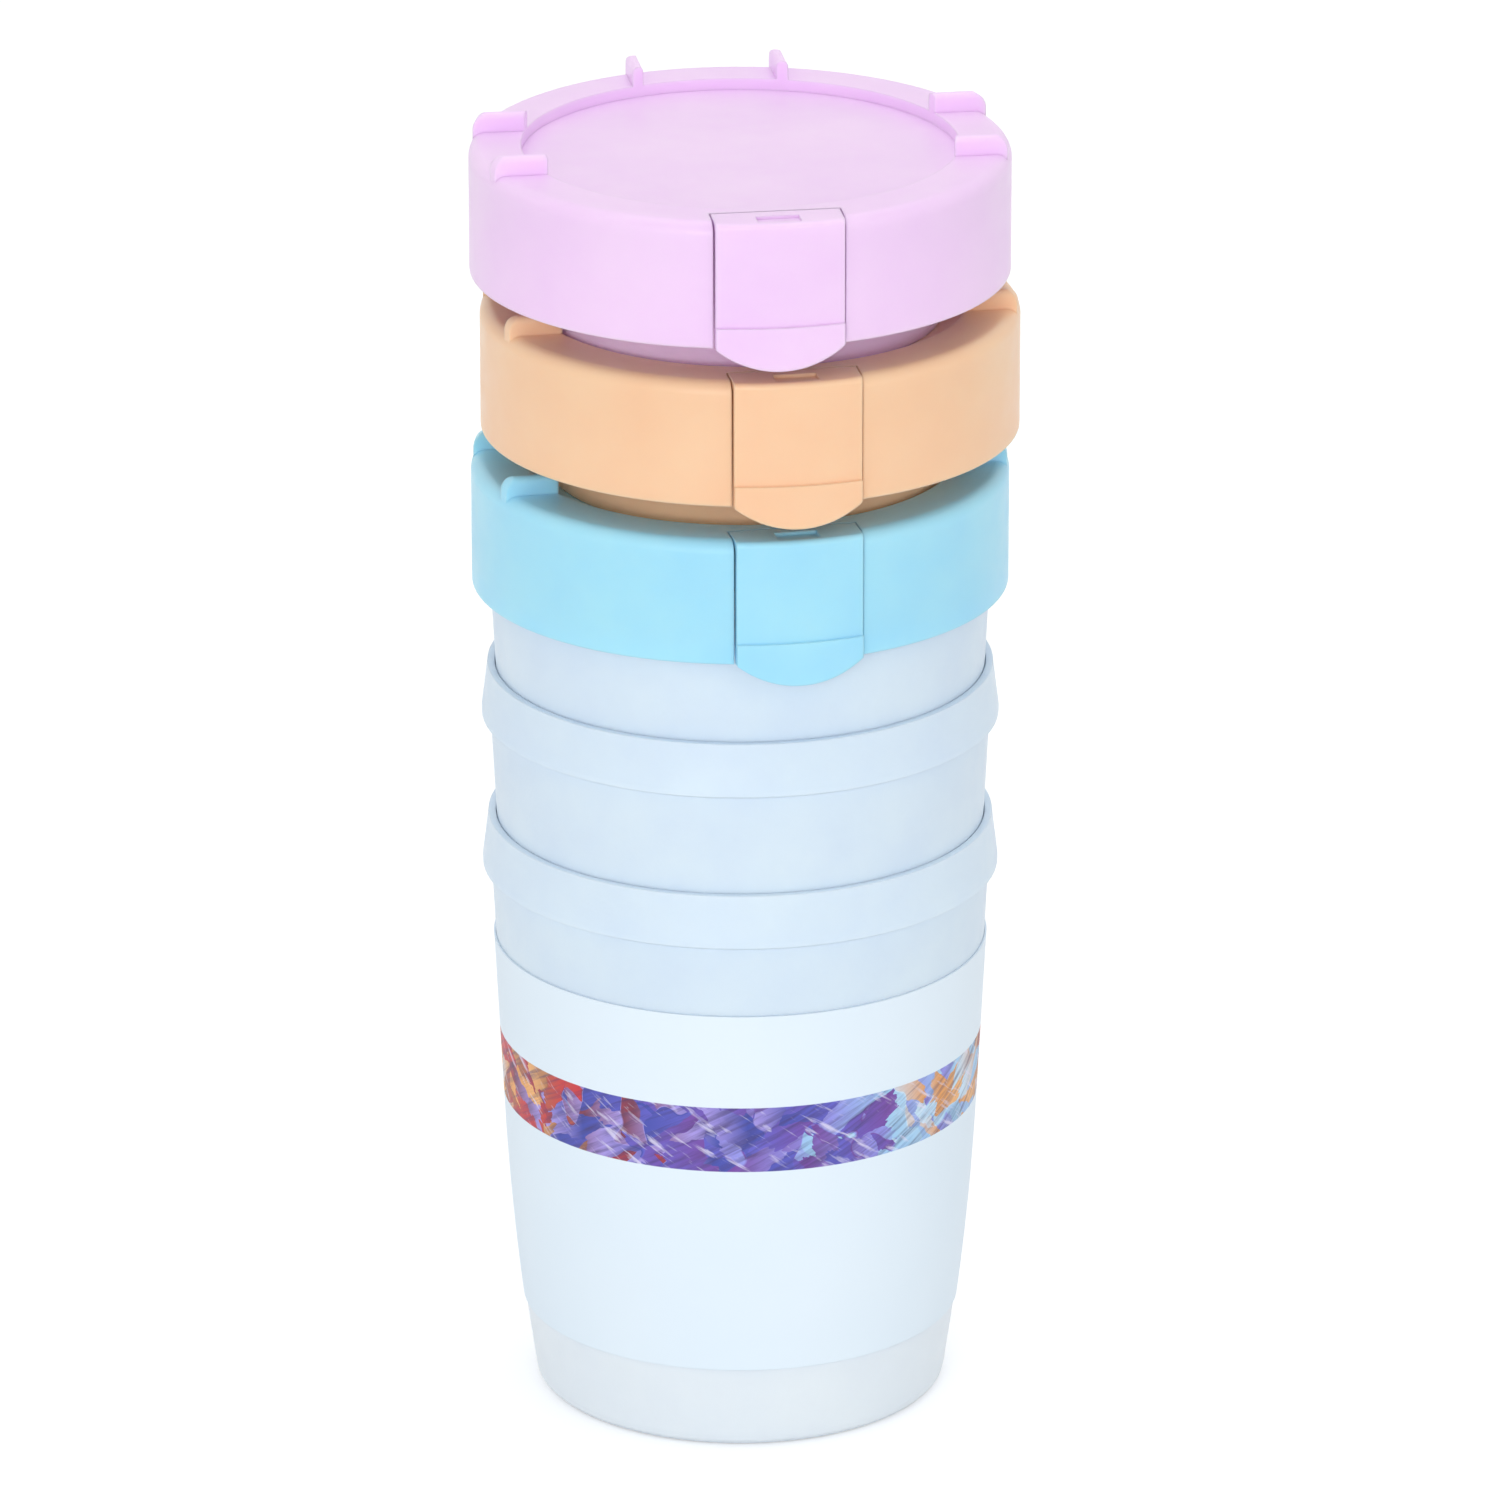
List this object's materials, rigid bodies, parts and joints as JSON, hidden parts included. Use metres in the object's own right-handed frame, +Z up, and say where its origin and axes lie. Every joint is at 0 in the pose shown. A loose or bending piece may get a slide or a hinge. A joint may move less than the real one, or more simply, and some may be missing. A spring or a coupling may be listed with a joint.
{
  "type": "brush washer with lid",
  "caption": "Nested tapered brush washing pots in a paper sleeve, with stacked push-on lids that carry a swing-out locking tab and raised brush rests.",
  "frame": {"origin": "middle of the lowest pot's base, on the surface that the set stands on", "axes": "+Z up along the pots' common axis, -Y towards the side that shows in front, +X to its right"},
  "size_m": [0.0821, 0.0818, 0.2001],
  "materials": {
    "pot_plastic": "frosted translucent polypropylene",
    "sleeve_paper": "coated white paper with a painted band",
    "lid_blue": "satin pastel blue",
    "lid_orange": "satin pastel orange",
    "lid_lilac": "satin pastel lilac"
  },
  "bodies": {
    "pot_lower": {"pot_lower": "pot_plastic", "paper_sleeve": "sleeve_paper"},
    "pot_middle": {"pot_middle": "pot_plastic"},
    "pot_upper": {"pot_upper": "pot_plastic"},
    "lid_blue": {"lid_blue": "lid_blue"},
    "tab_blue": {"tab_blue": "lid_blue"},
    "lid_orange": {"lid_orange": "lid_orange"},
    "tab_orange": {"tab_orange": "lid_orange"},
    "lid_lilac": {"lid_lilac": "lid_lilac"},
    "tab_lilac": {"tab_lilac": "lid_lilac"}
  },
  "joints": [
    {"name": "middle_pot_lift", "type": "slide", "parent": "pot_lower", "child": "pot_middle", "axis": [0, 0, 1], "range_m": [0, 0.08]},
    {"name": "upper_pot_lift", "type": "slide", "parent": "pot_middle", "child": "pot_upper", "axis": [0, 0, 1], "range_m": [0, 0.08]},
    {"name": "blue_lid_lift", "type": "slide", "parent": "pot_upper", "child": "lid_blue", "axis": [0, 0, 1], "range_m": [0, 0.03]},
    {"name": "blue_tab", "type": "hinge", "parent": "lid_blue", "child": "tab_blue", "pos_m": [0.00259, -0.0345, 0.14775], "axis": [-0.9972, -0.075, 0], "range_deg": [0, 18], "stiffness_Nm_per_rad": 0.05},
    {"name": "orange_lid_lift", "type": "slide", "parent": "lid_blue", "child": "lid_orange", "axis": [0, 0, 1], "range_m": [0, 0.03]},
    {"name": "orange_tab", "type": "hinge", "parent": "lid_orange", "child": "tab_orange", "pos_m": [0.00253, -0.03458, 0.17215], "axis": [-0.9996, -0.0297, 0], "range_deg": [0, 18], "stiffness_Nm_per_rad": 0.05},
    {"name": "lilac_lid_lift", "type": "slide", "parent": "lid_orange", "child": "lid_lilac", "axis": [0, 0, 1], "range_m": [0, 0.03]},
    {"name": "lilac_tab", "type": "hinge", "parent": "lid_lilac", "child": "tab_lilac", "pos_m": [0, -0.0346, 0.19655], "axis": [-1, 0, 0], "range_deg": [0, 18], "stiffness_Nm_per_rad": 0.05}
  ]
}
